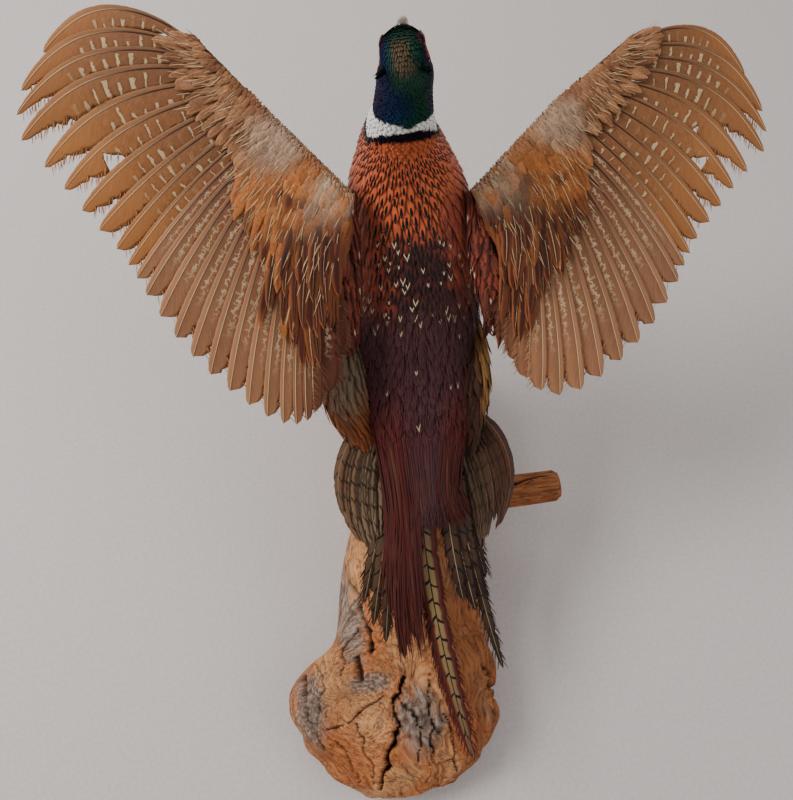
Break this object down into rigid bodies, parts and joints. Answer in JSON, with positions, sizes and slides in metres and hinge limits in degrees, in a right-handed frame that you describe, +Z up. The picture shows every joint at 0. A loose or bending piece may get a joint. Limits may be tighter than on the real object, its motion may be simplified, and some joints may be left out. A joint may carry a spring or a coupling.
{
  "type": "taxidermy pheasant",
  "caption": "Mounted cock ring-necked pheasant with wings spread and tail lowered, standing on a piece of driftwood with a flat underside.",
  "frame": {"origin": "on the flat underside of the driftwood, below the bird's middle plane and midway along the wood", "axes": "+Z up; the bird faces -Y and its middle plane is X = 0, with its own left side towards +X; the tail points to +Y"},
  "size_m": [0.7242, 0.6994, 0.6075],
  "materials": {
    "body_plumage": "copper-orange mantle, maroon and dark purple back with cream flecks, soft sheen",
    "neck_plumage": "glossy blue-green and violet, with a white ring",
    "wing_coverts": "orange-tawny and buff feathers with chestnut patches",
    "wing_feathers": "tawny flight feathers with broken cream bars and pale shafts",
    "tail_feathers": "buff-olive feathers with narrow black bars and rufous fringes",
    "bare_cheek": "warty red bare skin",
    "bill_horn": "pale horn, darker at the root",
    "claw_horn": "dark horn",
    "eye_glass": "polished glass eye with a dark pupil and an amber iris",
    "leg_scales": "grey-brown scales",
    "driftwood": "bare weathered wood, orange-tan with grey patches and dark cracks"
  },
  "bodies": {
    "root": {"base_driftwood": "driftwood", "trunk": "body_plumage", "neck": "neck_plumage", "head": "neck_plumage", "bill_upper": "bill_horn", "bill_lower": "bill_horn", "tail_middle": "tail_feathers", "eye_left": "eye_glass", "wattle_left": "bare_cheek", "ear_tuft_left": "neck_plumage", "scapular_left": "body_plumage", "flank_left": "body_plumage", "thigh_left": "body_plumage", "foot_left": "leg_scales", "spur_left": "claw_horn", "wing_left_hand": "wing_coverts", "wing_left_arm": "wing_coverts", "wing_left_primaries": "wing_feathers", "wing_left_secondaries": "wing_feathers", "tail_side_left": "tail_feathers", "tail_skirt_left": "tail_feathers", "eye_right": "eye_glass", "wattle_right": "bare_cheek", "ear_tuft_right": "neck_plumage", "scapular_right": "body_plumage", "flank_right": "body_plumage", "thigh_right": "body_plumage", "foot_right": "leg_scales", "spur_right": "claw_horn", "wing_right_hand": "wing_coverts", "wing_right_arm": "wing_coverts", "wing_right_primaries": "wing_feathers", "wing_right_secondaries": "wing_feathers", "tail_side_right": "tail_feathers", "tail_skirt_right": "tail_feathers"}
  },
  "joints": []
}
